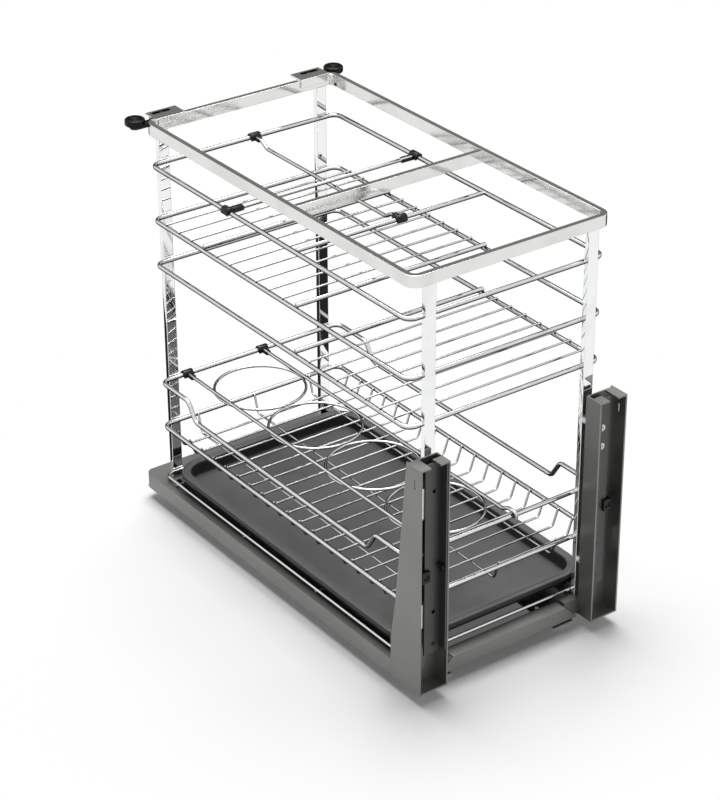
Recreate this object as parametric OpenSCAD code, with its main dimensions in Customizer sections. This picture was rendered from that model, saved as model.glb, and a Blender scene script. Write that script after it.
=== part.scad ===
// Pull-out cabinet basket, one 300 mm base unit wide.
// X is the width, -Y the door side, +Z up. Z = 0 is the cabinet floor under the runners.
// All lengths are in millimetres.

/* [Overall] */
// outer width of the base frame
base_w = 256; // [200:1:420]
// width of the wire loops, wire centre to wire centre
loop_w = 236.7; // [180:0.1:400]
// depth of the wire loops, wire centre to wire centre
loop_d = 445.4; // [300:0.1:520]
// the loops sit this far behind the middle of the whole object
loop_y = 3; // [0:0.5:20]
// gap between the cabinet floor and the underside of the base frame
lift = 13; // [13:0.5:40]

/* [Wires] */
// diameter of the thick rail wires
rail_d = 5; // [3:0.1:8]
// diameter of the thin shelf wires
thin_d = 2.2; // [1.5:0.1:4]
// diameter of the lower basket's grid wires
grid_d = 2.5; // [1.5:0.1:4]
// diameter of the loose divider and rack rods
rod_d = 4; // [3:0.1:6]
// diameter of the bottle ring wire
ring_wire_d = 3; // [2:0.1:5]
// diameter of the tray holder rim wire
rim_wire_d = 3.8; // [2.5:0.1:6]
// bend radius of the loop corners at the wire centre
loop_r = 10; // [6:0.5:40]
// how far welded wires sink into each other
weld = 0.1; // [0.05:0.05:0.3]

/* [Heights above the base underside] */
// top of the base frame
base_h = 18.5; // [15:0.5:40]
// bottom rail of the lower basket
rail_e_z = 86.6; // [60:0.1:120]
// top rail of the lower basket
rail_d_z = 140.4; // [110:0.1:200]
// front shelf rail
rail_c_z = 283.1; // [240:0.1:320]
// rear shelf rail
rail_b_z = 335.2; // [300:0.1:370]
// upper guard rail
rail_a_z = 397.6; // [360:0.1:440]
// underside of the top frame
top_z = 432.2; // [400:0.1:500]
// flat level of the lower basket's grid
grid_z = 69.4; // [50:0.1:80]

/* [Frame bars] */
// thickness of the top frame's flat bar and of the posts
bar_t = 6; // [4:0.1:8]
// height of the top frame's flat bar
bar_h = 12.9; // [8:0.1:20]
// width of a post
post_w = 12.4; // [8:0.1:20]
// middle of the front posts from the centre line
post_front_x = 98.3; // [70:0.1:180]
// middle of the rear posts from the centre line
post_rear_x = 100.9; // [70:0.1:180]
// outer corner radius of the top frame
top_r = 12; // [8:0.5:30]
// the middle of the step between the rear and front shelf
step_y = -39; // [-80:1:40]

/* [Shelves] */
// spacing of the rear shelf wires
rear_pitch = 23.8; // [15:0.1:40]
// spacing of the front shelf wires
front_pitch = 23.5; // [15:0.1:40]
// spacing of the lower grid wires
low_pitch = 23.24; // [15:0.01:40]

/* [Bottle rack] */
// centre spacing of the bottle rings
ring_pitch = 104.5; // [90:0.5:130]
// ring radius at the wire centre
ring_r = 50; // [35:0.5:55]
// middle of the rack from the centre line
rack_x = -35.5; // [-38:0.5:30]

/* [Door brackets] */
// width of a bracket channel
bracket_w = 35; // [25:1:50]
// height of a bracket
bracket_h = 256; // [200:1:300]
// sheet thickness of brackets and base
sheet_t = 1.8; // [1.2:0.1:3]

/* [Guide rollers] */
// roller diameter
roller_d = 21.5; // [16:0.5:30]
// roller centre beyond the side of the top frame
roller_x = 6.3; // [2:0.1:30]

/* [Fits] */
// gap round a clip that slides on a wire
slide_gap = 0.15; // [0.05:0.05:0.3]
// gap between parts that pass each other
clear = 0.3; // [0.2:0.05:0.6]

/* [Hidden] */
$fn = 32;

chrome = [0.82, 0.83, 0.84];
paint = [0.27, 0.27, 0.27];
plastic = [0.36, 0.36, 0.37];
black = [0.06, 0.06, 0.06];
steel = [0.62, 0.63, 0.64];

rr = rail_d / 2;
tr = thin_d / 2;
gr = grid_d / 2;
rodr = rod_d / 2;
hw = loop_w / 2;
hd = loop_d / 2;
bw = base_w / 2;
top_top = top_z + bar_h;
// front and rear posts stand against the loops' outer faces
post_in = hd + rr - weld;
post_out = post_in + bar_t;
frame_hw = hw + 1.85;
front_y = -(hd + 34.3);
rear_y = hd + 28.3;
web_y = -(hd + 14.8);
member_y = -(hd + 17.7);
run_y0 = -230;
run_y1 = 246;
run_x = bw - 24;

// everything is drawn round the loops and moved to the object's own origin here
module at() {
    translate([0, loop_y, lift])
        children();
}

// round wire between two points
module seg(a, b, r) {
    v = b - a;
    len = norm(v);
    translate(a)
        rotate([0, acos(v[2] / len), atan2(v[1], v[0])])
            cylinder(h = len, r = r, $fn = 24);
}

// round wire along a list of points, each bend filled by a ball a hair thicker than the wire
module path(p, r) {
    for (i = [0 : len(p) - 2])
        seg(p[i], p[i + 1], r);
    for (i = [1 : len(p) - 2])
        translate(p[i])
            sphere(r = r + 0.1, $fn = 24);
}

// quarter bend of a wire in the level plane
module bend(cx, cy, z, a0, bend_r, r) {
    translate([cx, cy, z])
        rotate([0, 0, a0])
            rotate_extrude(angle = 90, $fn = 48)
                translate([bend_r, 0])
                    circle(r = r, $fn = 24);
}

// the four corners of a wire loop
module corners(z, r) {
    bend(hw - loop_r, hd - loop_r, z, 0, loop_r, r);
    bend(-(hw - loop_r), hd - loop_r, z, 90, loop_r, r);
    bend(-(hw - loop_r), -(hd - loop_r), z, 180, loop_r, r);
    bend(hw - loop_r, -(hd - loop_r), z, 270, loop_r, r);
}

// front and rear runs of a wire loop
module ends(z, r) {
    for (s = [-1, 1])
        seg([-(hw - loop_r), s * hd, z], [hw - loop_r, s * hd, z], r);
}

// one closed wire loop
module loop(z, r) {
    corners(z, r);
    ends(z, r);
    for (s = [-1, 1])
        seg([s * hw, -(hd - loop_r), z], [s * hw, hd - loop_r, z], r);
}

// rounded rectangle, half width by half depth
module rrect(x, y, r) {
    square([2 * x - 2 * r, 2 * y], center = true);
    square([2 * x, 2 * y - 2 * r], center = true);
    for (i = [-1, 1])
        for (j = [-1, 1])
            translate([i * (x - r), j * (y - r)])
                circle(r = r, $fn = 48);
}

// cube given by its corner ranges
module box(x0, x1, y0, y1, z0, z1) {
    translate([x0, y0, z0])
        cube([x1 - x0, y1 - y0, z1 - z0]);
}

// ---------- runners ----------

slide_w = 13;
slide_h0 = 6 - lift;
slide_h1 = 26 - lift;
foot_w = 24;
foot_hole_x = run_x - slide_w - 14;
foot_hole_y = 190;

// fixed member with its screw foot, left side
module cabinet_rail() {
    x1 = -run_x + slide_w;
    difference() {
        union() {
            box(x1 - 1.4, x1, run_y0, run_y1, -lift, slide_h1);
            box(x1 - 5, x1, run_y0, run_y1, slide_h1 - 1.4, slide_h1);
            box(x1 - 5, x1, run_y0, run_y1, slide_h0, slide_h0 + 1.4);
            box(x1 - 1.4, x1 + foot_w, run_y0, run_y1, -lift, -lift + 1.6);
        }
        for (y = [-foot_hole_y, 0, foot_hole_y])
            translate([-foot_hole_x, y, -lift - 1])
                cylinder(h = 4, d = 5);
    }
}

// intermediate member, left side
module middle_slide() {
    x0 = -run_x + 1.4 + clear;
    x1 = -run_x + slide_w - 1.4 - clear;
    z0 = slide_h0 + 1.4 + clear;
    z1 = slide_h1 - 1.4 - clear;
    difference() {
        box(x0, x1, run_y0, run_y1, z0, z1);
        box(x0 + 1.5, x1 - 1.5, run_y0 - 1, run_y1 + 1, z0 + 1.5, z1 - 1.5);
    }
}

// carriage member, left side
module carriage_slide() {
    x0 = -run_x;
    box(x0, x0 + 1.4, run_y0, run_y1, slide_h0, slide_h1);
    box(x0, x0 + 5, run_y0, run_y1, slide_h1 - 1.4, slide_h1);
    box(x0, x0 + 5, run_y0, run_y1, slide_h0, slide_h0 + 1.4);
}

module cabinet_rail_left() color(steel) at() cabinet_rail();
module cabinet_rail_right() color(steel) mirror([1, 0, 0]) at() cabinet_rail();
module middle_slide_left() color(steel) at() middle_slide();
module middle_slide_right() color(steel) mirror([1, 0, 0]) at() middle_slide();
module carriage_slide_left() color(steel) at() carriage_slide();
module carriage_slide_right() color(steel) mirror([1, 0, 0]) at() carriage_slide();

// ---------- base ----------

side_flange = 12;
rear_flange = 38;
closure_y = -(hd + 12.7);
side_y0 = -(hd - 13.2);
base_r = 9;

// folded sides with the wide rear flange; the runners pass under the middle of the rear
module base_frame() color(paint) at() {
    half = (rear_y - side_y0 + 30) / 2;
    difference() {
        translate([0, rear_y - half, 0])
            linear_extrude(height = base_h)
                rrect(bw, half, base_r);
        translate([0, rear_y - half, -1])
            linear_extrude(height = base_h - sheet_t + 1)
                rrect(bw - sheet_t, half - sheet_t, base_r - sheet_t);
        box(side_flange - bw, bw - side_flange, side_y0 - 40, rear_y - rear_flange, -1, base_h + 1);
        box(-bw - 1, bw + 1, side_y0 - 40, side_y0, -1, base_h + 1);
        box(-run_x, run_x, rear_y - 20, rear_y + 1, -1, slide_h1 + 1.5);
    }
    beam_inside();
    mirror([1, 0, 0])
        beam_inside();
    box(-run_x - sheet_t, run_x + sheet_t, -20, 20, base_h - sheet_t, base_h);
}

// left beam's bottom flange, inner wall and the closed corner at its front end
module beam_inside() {
    x0 = -run_x - sheet_t;
    y0 = closure_y;
    box(-bw + sheet_t / 2, -run_x, side_y0, rear_y - 3, 0, sheet_t);
    box(x0, -run_x, y0, rear_y - rear_flange + 5, 0, base_h - sheet_t / 2);
    box(-bw + sheet_t, -88, y0, side_y0 + 2, base_h - sheet_t, base_h);
    box(-bw + sheet_t, -run_x, y0, side_y0 + 2, 0, sheet_t);
    box(-bw + sheet_t, -75.2, y0, y0 + sheet_t, 0, base_h);
    box(-89, -75.2, y0, y0 + 9, base_h - sheet_t, base_h);
}

// front member between the brackets: a channel open to the rear, its ends cut at a slant
module base_front_member() color(paint) at() {
    x1 = bw - bracket_w;
    top = base_h - sheet_t;
    difference() {
        union() {
            box(-x1, x1, member_y, member_y + sheet_t, 0, top);
            box(-x1, x1, member_y, member_y + 16, top - sheet_t, top);
            box(-x1, x1, member_y, closure_y, 0, sheet_t);
        }
        for (s = [-1, 1])
            translate([s * (x1 + 18.2), member_y - 1, top + 4])
                rotate([0, 45, 0])
                    cube([60, 40, 60], center = true);
    }
}

// ---------- tray ----------

cross_wire_z = base_h + 1.5 - weld;
rim_z = cross_wire_z + 1.5 + rim_wire_d / 2 - weld;
holder_end = hd - 22.7;
holder_mid = 67;

// closed wire rim with four cross wires that carry the tray
module tray_holder_rim() color(chrome) at() {
    loop(rim_z, rim_wire_d / 2);
    for (y = [-holder_end, -holder_mid, holder_mid, holder_end])
        seg([-hw - 1, y, cross_wire_z], [hw + 1, y, cross_wire_z], 1.5);
}

tray_z = cross_wire_z + 1.5 + clear;
tray_hw = hw + 1.2;
tray_y0 = -(hd - 1.7);
tray_y1 = hd - 13.7;
tray_h = 18.5;

// drip tray: flat floor, upright walls, rolled rim with a groove
module drip_tray() color(plastic) at()
    translate([0, (tray_y0 + tray_y1) / 2, tray_z]) {
        ty = (tray_y1 - tray_y0) / 2;
        difference() {
            linear_extrude(height = tray_h)
                rrect(tray_hw - 8, ty - 8, 24);
            translate([0, 0, 2])
                linear_extrude(height = tray_h)
                    rrect(tray_hw - 10.2, ty - 10.2, 21.8);
        }
        translate([0, 0, tray_h - 2.6])
            linear_extrude(height = 2.6)
                difference() {
                    rrect(tray_hw - 7, ty - 7, 25);
                    rrect(tray_hw - 10.2, ty - 10.2, 21.8);
                }
        translate([0, 0, tray_h - 3.6])
            linear_extrude(height = 2.2)
                difference() {
                    rrect(tray_hw - 1, ty - 1, 31);
                    rrect(tray_hw - 9, ty - 9, 23);
                }
        translate([0, 0, tray_h - 5.6])
            linear_extrude(height = 5.2)
                difference() {
                    rrect(tray_hw, ty, 32);
                    rrect(tray_hw - 3, ty - 3, 29);
                }
    }

// ---------- posts and top frame ----------

module post(x, s) {
    y0 = s > 0 ? post_in : -post_out;
    box(x - post_w / 2, x + post_w / 2, y0, y0 + bar_t, base_h, top_z);
}

module post_front_left() color(chrome) at() post(-post_front_x, -1);
module post_front_right() color(chrome) at() post(post_front_x, -1);
module post_rear_left() color(chrome) at() post(-post_rear_x, 1);
module post_rear_right() color(chrome) at() post(post_rear_x, 1);

// flat bar on edge bent to a rounded rectangle
module top_frame() color(chrome) at()
    translate([0, 0, top_z])
        linear_extrude(height = bar_h)
            difference() {
                rrect(frame_hw, post_out, top_r);
                rrect(frame_hw - bar_t, post_in, top_r - bar_t);
            }

module top_crossbar() color(chrome) at()
    box(-frame_hw + bar_t, frame_hw - bar_t, step_y, step_y + bar_t, top_z, top_top);

// ---------- upper rails and shelves ----------

module upper_guard_rail() color(chrome) at() loop(rail_a_z, rr);
module rear_shelf_rail() color(chrome) at() loop(rail_b_z, rr);
module front_shelf_rail() color(chrome) at() loop(rail_c_z, rr);

// fixed wire across the upper guard rail, butted between its sides
module fixed_cross_wire() color(chrome) at()
    seg([-hw + rr - weld, step_y + 1, rail_a_z], [hw - rr + weld, step_y + 1, rail_a_z], 2.4);

rear_grid_z = rail_b_z + rr + tr - weld;
front_grid_z = rail_c_z + rr + tr - weld;

// wires laid across the rear shelf rail; the first and the eighth are thick
module rear_shelf_grid() color(chrome) at()
    for (i = [0 : 10])
        if (i == 0 || i == 7)
            seg([-hw - 1, step_y - 2 + i * rear_pitch, rail_b_z + 2 * rr - weld],
                [hw + 1, step_y - 2 + i * rear_pitch, rail_b_z + 2 * rr - weld], rr);
        else
            seg([-hw - 1.5, step_y - 2 + i * rear_pitch, rear_grid_z],
                [hw + 1.5, step_y - 2 + i * rear_pitch, rear_grid_z], tr);

// wires laid across the front shelf rail; the first is thick
module front_shelf_grid() color(chrome) at()
    for (i = [0 : 7])
        if (i == 0)
            seg([-hw - 1, step_y + 1, rail_c_z + 2 * rr - weld],
                [hw + 1, step_y + 1, rail_c_z + 2 * rr - weld], rr);
        else
            seg([-hw - 1.5, step_y + 1 - i * front_pitch, front_grid_z],
                [hw + 1.5, step_y + 1 - i * front_pitch, front_grid_z], tr);

// ---------- lower basket ----------

drop = 20.4;

// top rail of the lower basket, its long sides lowered between the ends
module basket_top_rail() color(chrome) at() {
    corners(rail_d_z, rr);
    ends(rail_d_z, rr);
    for (s = [-1, 1])
        path([[s * hw, -(hd - loop_r), rail_d_z], [s * hw, -171, rail_d_z],
            [s * hw, -158, rail_d_z - drop], [s * hw, 155.6, rail_d_z - drop],
            [s * hw, 168.5, rail_d_z], [s * hw, hd - loop_r, rail_d_z]], rr);
}

module basket_bottom_rail() color(chrome) at() loop(rail_e_z, rr);

up = rail_e_z - grid_z;
slant = atan(6.2 / up);
reach = (rr + gr + 0.06 - weld) / cos(slant);

// one grid wire of half length h, turned up and outwards at both ends
module grid_wire(h, z) {
    e = h - reach - (rail_e_z - z) * tan(slant);
    tip = h - reach + 2.6 * tan(slant);
    low = 0.9;
    seg([-e, 0, z], [e, 0, z], gr);
    for (s = [-1, 1])
        seg([s * (e - low * tan(slant)), 0, z - low], [s * tip, 0, rail_e_z + 2.6], gr + 0.06);
}

// cross wires of the lower basket
module basket_cross_wires() color(chrome) at()
    for (i = [0 : 17])
        translate([0, (i - 8.5) * low_pitch, 0])
            grid_wire(hw, grid_z);

long_wire_x = 75;

// three long wires under the cross wires
module basket_long_wires() color(chrome) at()
    for (x = [-long_wire_x, 0, long_wire_x])
        translate([x, 0, 0])
            rotate([0, 0, 90])
                grid_wire(hd, grid_z - grid_d + weld);

// ---------- loose dividers ----------

div_y = 79;
div_x = 11;
fix_y = step_y + 1;
bore_r = rr + slide_gap;

// clip body with a bore for the rail it rides on and a socket for the rod
module side_clip(s) {
    difference() {
        union() {
            box(min(s * (hw - 7), s * (hw + 5)), max(s * (hw - 7), s * (hw + 5)),
                div_y - 6, div_y + 6, rail_a_z - 3.5, rail_a_z + 5);
            translate([s * (hw - 6), div_y, rail_a_z])
                rotate([0, -s * 90, 0])
                    cylinder(h = 12.5, r = 3.6);
        }
        translate([s * hw, div_y - 7, rail_a_z])
            rotate([-90, 0, 0])
                cylinder(h = 14, r = bore_r);
        translate([s * (hw - 5), div_y, rail_a_z])
            rotate([0, -s * 90, 0])
                cylinder(h = 20, r = rodr);
        box(min(s * (hw - 1.6), s * (hw + 1.6)), max(s * (hw - 1.6), s * (hw + 1.6)),
            div_y - 7, div_y + 7, rail_a_z - 5, rail_a_z);
    }
}

module cross_divider_rod() color(chrome) at()
    seg([-hw + 5, div_y, rail_a_z], [hw - 5, div_y, rail_a_z], rodr);

module cross_divider_clip_left() color(black) at() side_clip(-1);
module cross_divider_clip_right() color(black) at() side_clip(1);

long_drop = rod_d + 2.2;

// rod along the basket, dipped so that it passes under the cross rod
module long_divider_rod() color(chrome) at()
    path([[div_x, fix_y + 5, rail_a_z], [div_x, fix_y + 14, rail_a_z],
        [div_x, fix_y + 24, rail_a_z - long_drop], [div_x, hd - 24, rail_a_z - long_drop],
        [div_x, hd - 14, rail_a_z], [div_x, hd - 5, rail_a_z]], rodr);

// clip of the long rod; y is the wire it rides on, s the side the rod leaves to
module end_clip(y, s, wire_r) {
    difference() {
        union() {
            box(div_x - 6, div_x + 6, y - (s > 0 ? 5 : 7), y + (s > 0 ? 7 : 5),
                rail_a_z - 3.5, rail_a_z + 5);
            translate([div_x, y + s * 6, rail_a_z])
                rotate([-s * 90, 0, 0])
                    cylinder(h = 5.5, r = 3.6);
        }
        translate([div_x - 7, y, rail_a_z])
            rotate([0, 90, 0])
                cylinder(h = 14, r = wire_r + slide_gap);
        translate([div_x, y + s * 5, rail_a_z])
            rotate([-s * 90, 0, 0])
                cylinder(h = 20, r = rodr);
        box(div_x - 7, div_x + 7, y - 1.6, y + 1.6, rail_a_z - 5, rail_a_z);
    }
}

module long_divider_clip_rear() color(black) at() end_clip(hd, -1, rr);
module long_divider_clip_front() color(black) at() end_clip(fix_y, 1, 2.4);

// ---------- bottle rack ----------

rack_z = rail_d_z + 0.4;
rack_half = ring_r - 0.5;
hook_z = rail_d_z + rr + rodr + clear;
ring_z = rack_z - rodr - ring_wire_d / 2 + 0.05;

// two rods with hooked front ends
module rack_rods() color(chrome) at()
    for (s = [-1, 1]) {
        x = rack_x + s * rack_half;
        path([[x, hd - 5, rack_z], [x, -hd + 16, rack_z], [x, -hd + 8, hook_z],
            [x, -hd - rr - rodr - clear, hook_z], [x, -hd - rr - rodr - clear, rail_d_z - 3]],
            rodr);
    }

// four rings welded under the rods
module bottle_rings() color(chrome) at()
    for (i = [0 : 3])
        translate([rack_x, -3.5 + (i - 1.5) * ring_pitch, ring_z])
            rotate_extrude($fn = 64)
                translate([ring_r, 0])
                    circle(r = ring_wire_d / 2, $fn = 24);

// clip that rides on the rear rail and holds a rack rod
module rack_clip(x) {
    difference() {
        box(x - 6, x + 6, hd - 7.5, hd + 4.6, rail_d_z - 3.5, rail_d_z + 4.4);
        translate([x - 7, hd, rail_d_z])
            rotate([0, 90, 0])
                cylinder(h = 14, r = bore_r);
        translate([x, hd - 5, rack_z])
            rotate([90, 0, 0])
                cylinder(h = 20, r = rodr);
        box(x - 7, x + 7, hd - 1.6, hd + 1.6, rail_d_z - 5, rail_d_z);
    }
}

module rack_clip_left() color(black) at() rack_clip(rack_x - rack_half);
module rack_clip_right() color(black) at() rack_clip(rack_x + rack_half);

// ---------- door brackets ----------

plate_y = -(hd + 24.3);
plate_top = bracket_h - 3;
plate_bot = 37;

// side view of the outer wall, wide at the foot and narrow at the top
module wall_outline() {
    polygon([[front_y, 0], [front_y, bracket_h], [-(hd + 10.9), bracket_h],
        [-(hd + 2), 165], [-(hd - 5.9), 91], [side_y0, 45], [side_y0, 0]]);
}

// the screws through the web stand in line with the front posts
screw_x = bw - post_front_x;
screw_low = 62;
screw_high = 225;
cam_z = 137;

// left bracket: outer wall, web with two windows, inner wall, foot and two top tabs
module front_bracket() {
    x0 = -bw;
    x1 = -bw + bracket_w;
    difference() {
        union() {
            translate([x0, 0, 0])
                rotate([90, 0, 90])
                    linear_extrude(height = sheet_t)
                        wall_outline();
            box(x0 + 1, x1, web_y, web_y + sheet_t, 0, bracket_h);
            box(x1 - sheet_t, x1, front_y, web_y + 1, 0, bracket_h);
            box(x0 + 1, x1, front_y, web_y + 1, 0, sheet_t);
            box(x0, x0 + 12, front_y, web_y + 1, bracket_h - sheet_t, bracket_h);
            box(x1 - 12, x1, front_y, front_y + 13, bracket_h - sheet_t, bracket_h);
        }
        for (z = [62, 187])
            box(x0 + 10, x0 + 19, web_y - 1, web_y + 4, z, z + (z > 100 ? 35 : 28));
        translate([x0 + 14.5, web_y - 1, 148])
            rotate([-90, 0, 0])
                cylinder(h = 4, d = 7);
        for (z = [screw_low, screw_high])
            translate([x0 + screw_x, web_y - 1, z])
                rotate([-90, 0, 0])
                    cylinder(h = 4, d = 5);
        box(x0 - 1, x0 + 3, front_y + 9, front_y + 11, 232, 242);
    }
}

// left door plate: an angle that slides up and down in the bracket
module door_plate() {
    x1 = -bw + bracket_w - sheet_t - clear;
    x0 = x1 - 20;
    difference() {
        union() {
            box(x0, x1, plate_y, plate_y + sheet_t, plate_bot, plate_top);
            box(x1 - sheet_t, x1, front_y + 0.5, plate_y + 1, plate_bot + 6, plate_top);
        }
        for (z = [48, 85, 222])
            translate([x1 - 9, plate_y - 1, z])
                rotate([-90, 0, 0])
                    cylinder(h = 4, d = 4.5);
        translate([x1 - 3, (front_y + plate_y) / 2, cam_z])
            rotate([0, 90, 0])
                cylinder(h = 4, d = 4);
    }
}

// black clip on the free edge of the door plate
module door_clip() {
    x = -bw + bracket_w - sheet_t - clear - 20;
    difference() {
        box(x - 5, x + 5, plate_y - 3, plate_y + sheet_t + 2.2, 123, 136);
        box(x, x + 6, plate_y, plate_y + sheet_t, 122, 137);
        box(x - 3, x + 3, plate_y - 4, plate_y - 1.5, 127, 132);
    }
}

// eccentric cam with its spindle through the plate's side leg
module height_cam() {
    x1 = -bw + bracket_w - sheet_t - clear;
    translate([x1 - sheet_t - 3, (front_y + plate_y) / 2, cam_z])
        rotate([0, 90, 0]) {
            difference() {
                union() {
                    translate([0, 0.8, 0])
                        cylinder(h = 3 - 0.1, r = 3.8);
                    cylinder(h = 3 + sheet_t, r = 1.9);
                }
                translate([-2.5, -0.5, -1])
                    cube([5, 1, 1.8]);
            }
        }
}

module front_bracket_left() color(paint) at() front_bracket();
module front_bracket_right() color(paint) mirror([1, 0, 0]) at() front_bracket();
module door_plate_left() color(paint) at() door_plate();
module door_plate_right() color(paint) mirror([1, 0, 0]) at() door_plate();
module door_clip_left() color(black) at() door_clip();
module door_clip_right() color(black) mirror([1, 0, 0]) at() door_clip();
module height_cam_left() color(black) at() height_cam();
module height_cam_right() color(black) mirror([1, 0, 0]) at() height_cam();

// sleeves between bracket web and front post
module post_spacers() color(steel) at()
    for (s = [-1, 1])
        for (z = [screw_low, screw_high])
            translate([s * (bw - screw_x), web_y + sheet_t, z])
                rotate([-90, 0, 0])
                    difference() {
                        cylinder(h = -post_out - web_y - sheet_t, d = 9);
                        translate([0, 0, -1])
                            cylinder(h = 12, d = 4.2);
                    }

// pan head screws that hold the brackets to the posts
module bracket_screws() color(black) at()
    for (s = [-1, 1])
        for (z = [screw_low, screw_high])
            translate([s * (bw - screw_x), web_y, z])
                rotate([90, 0, 0])
                    difference() {
                        union() {
                            cylinder(h = 2.4, d = 6.4);
                            translate([0, 0, -(-post_out - web_y)])
                                cylinder(h = -post_out - web_y + 1, d = 4);
                        }
                        translate([0, 0, 1.2])
                            cylinder(h = 3, d = 2.6, $fn = 24);
                    }

// ---------- guide rollers ----------

arm_y = hd + 15.9;
roller_h = 7.4;
axle_x = frame_hw + roller_x;
// the plate lies inside the bend of the top frame, the slot and the arm lie on the plate
plate_x1 = frame_hw - 9.8;
plate_x0 = plate_x1 - 36.9;
slot_x1 = plate_x1 - 7.4;
slot_x0 = plate_x0 + 12.5;
block_x1 = plate_x1 - 4.4;
block_x0 = plate_x0 + 8.5;
clamp_x = (block_x0 + block_x1) / 2;
roller_z = top_top + sheet_t - roller_h;

// left roller bracket: slotted plate on the rear bar, folded over its inner face
module roller_bracket() {
    difference() {
        union() {
            box(-plate_x1, -plate_x0, post_in - sheet_t, arm_y + 5.9, top_top, top_top + sheet_t);
            box(-plate_x1 + 4, -plate_x0, post_in - sheet_t, post_in, top_top - 8, top_top + 1);
        }
        box(-slot_x1, -slot_x0, arm_y - 2.6, arm_y + 2.6, top_top - 1, top_top + 3);
        for (x = [slot_x0, slot_x1])
            translate([-x, arm_y, top_top - 1])
                cylinder(h = 4, r = 2.6);
    }
}

// black arm under the plate, its tongue passes under the roller and carries the roller's stub
module roller_arm() {
    tongue_z = roller_z - clear;
    difference() {
        union() {
            box(-block_x1, -block_x0, arm_y - 5.5, arm_y + 5.5, tongue_z - 3.4, top_top - clear);
            box(-axle_x, -block_x0, arm_y - 5.5, arm_y + 5.5, tongue_z - 3.4, tongue_z);
            translate([-axle_x, arm_y, tongue_z - 3.4])
                cylinder(h = 3.4, r = 5.5);
            translate([-axle_x, arm_y, tongue_z - 2])
                cylinder(h = 9, r = 2.4);
        }
        translate([-clamp_x, arm_y, tongue_z - 5])
            cylinder(h = 16, r = 2);
    }
}

// roller with a recessed hub and a rounded tread
module guide_roller() {
    translate([-axle_x, arm_y, roller_z])
        rotate_extrude($fn = 64)
            polygon([[2.5, 0], [9.5, 0], [roller_d / 2, 1.2], [roller_d / 2, roller_h - 1.2],
                [9.5, roller_h], [7.6, roller_h], [7.6, 5.6], [4.6, 5.6], [4.6, 6.8], [2.5, 6.8]]);
}

module roller_bracket_left() color(steel) at() roller_bracket();
module roller_bracket_right() color(steel) mirror([1, 0, 0]) at() roller_bracket();
module roller_arm_left() color(black) at() roller_arm();
module roller_arm_right() color(black) mirror([1, 0, 0]) at() roller_arm();
module guide_roller_left() color(black) at() guide_roller();
module guide_roller_right() color(black) mirror([1, 0, 0]) at() guide_roller();

// screw that clamps an arm from below, its end in the plate's slot
module roller_arm_screw() {
    translate([-clamp_x, arm_y, roller_z - clear - 3.4 - 1.6])
        difference() {
            union() {
                cylinder(h = 1.6, d = 7.6);
                cylinder(h = 12, d = 4);
            }
            translate([0, 0, -1])
                cylinder(h = 1.8, d = 2.6, $fn = 24);
        }
}

module roller_arm_screw_left() color(black) at() roller_arm_screw();
module roller_arm_screw_right() color(black) mirror([1, 0, 0]) at() roller_arm_screw();

// ---------- pick one node or all ----------

cabinet_rail_left();
cabinet_rail_right();
middle_slide_left();
middle_slide_right();
carriage_slide_left();
carriage_slide_right();
base_frame();
base_front_member();
tray_holder_rim();
drip_tray();
post_front_left();
post_front_right();
post_rear_left();
post_rear_right();
top_frame();
top_crossbar();
upper_guard_rail();
rear_shelf_rail();
front_shelf_rail();
fixed_cross_wire();
rear_shelf_grid();
front_shelf_grid();
basket_top_rail();
basket_bottom_rail();
basket_cross_wires();
basket_long_wires();
cross_divider_rod();
cross_divider_clip_left();
cross_divider_clip_right();
long_divider_rod();
long_divider_clip_rear();
long_divider_clip_front();
rack_rods();
bottle_rings();
rack_clip_left();
rack_clip_right();
front_bracket_left();
front_bracket_right();
door_plate_left();
door_plate_right();
door_clip_left();
door_clip_right();
height_cam_left();
height_cam_right();
post_spacers();
bracket_screws();
roller_bracket_left();
roller_bracket_right();
roller_arm_left();
roller_arm_right();
guide_roller_left();
guide_roller_right();
roller_arm_screw_left();
roller_arm_screw_right();
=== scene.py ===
import math

import bpy
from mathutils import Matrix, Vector


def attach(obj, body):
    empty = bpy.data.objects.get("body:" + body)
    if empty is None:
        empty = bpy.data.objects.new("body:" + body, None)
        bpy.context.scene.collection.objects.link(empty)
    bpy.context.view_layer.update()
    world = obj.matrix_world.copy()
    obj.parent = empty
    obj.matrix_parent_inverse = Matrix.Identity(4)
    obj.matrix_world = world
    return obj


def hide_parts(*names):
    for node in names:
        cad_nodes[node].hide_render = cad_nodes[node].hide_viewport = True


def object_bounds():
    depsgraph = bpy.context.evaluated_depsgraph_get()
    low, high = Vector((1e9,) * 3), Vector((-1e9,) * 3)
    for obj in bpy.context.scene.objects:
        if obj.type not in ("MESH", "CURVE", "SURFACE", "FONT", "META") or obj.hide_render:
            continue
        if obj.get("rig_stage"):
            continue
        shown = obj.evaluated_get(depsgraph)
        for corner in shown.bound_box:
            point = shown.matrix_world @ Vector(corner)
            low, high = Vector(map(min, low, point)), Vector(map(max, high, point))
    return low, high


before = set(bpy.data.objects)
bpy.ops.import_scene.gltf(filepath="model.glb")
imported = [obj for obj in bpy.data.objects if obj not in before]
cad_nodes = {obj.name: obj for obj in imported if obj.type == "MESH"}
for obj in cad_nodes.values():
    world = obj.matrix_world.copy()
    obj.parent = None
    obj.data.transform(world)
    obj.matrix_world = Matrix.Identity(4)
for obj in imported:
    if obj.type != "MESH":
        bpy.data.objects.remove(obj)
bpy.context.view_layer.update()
bpy.ops.object.select_all(action="DESELECT")

# ---------------------------------------------------------------------------
# Camera.
# It stands in front of the unit, to the left and well above, where its edges
# line up with the photograph's.
# ---------------------------------------------------------------------------

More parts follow.
